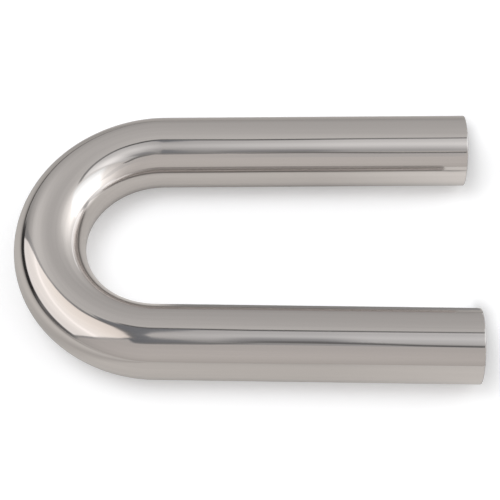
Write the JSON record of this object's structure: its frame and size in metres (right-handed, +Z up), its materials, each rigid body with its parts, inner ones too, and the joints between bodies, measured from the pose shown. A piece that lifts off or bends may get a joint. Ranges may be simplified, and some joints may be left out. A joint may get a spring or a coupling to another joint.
{
  "type": "return bend",
  "caption": "Thin-walled round steel tube bent back on itself into a flat U, with straight legs, open square-cut ends and a polished finish.",
  "frame": {"origin": "on the surface that the tube lies on, under the middle of its overall length and width", "axes": "+X along the legs from the bend to the open ends, +Y across the two legs, +Z up, square to the plane of the bend"},
  "size_m": [0.2594, 0.172, 0.0413],
  "materials": {
    "polished_steel": "polished"
  },
  "bodies": {
    "root": {"bent_tube": "polished_steel"}
  },
  "joints": []
}
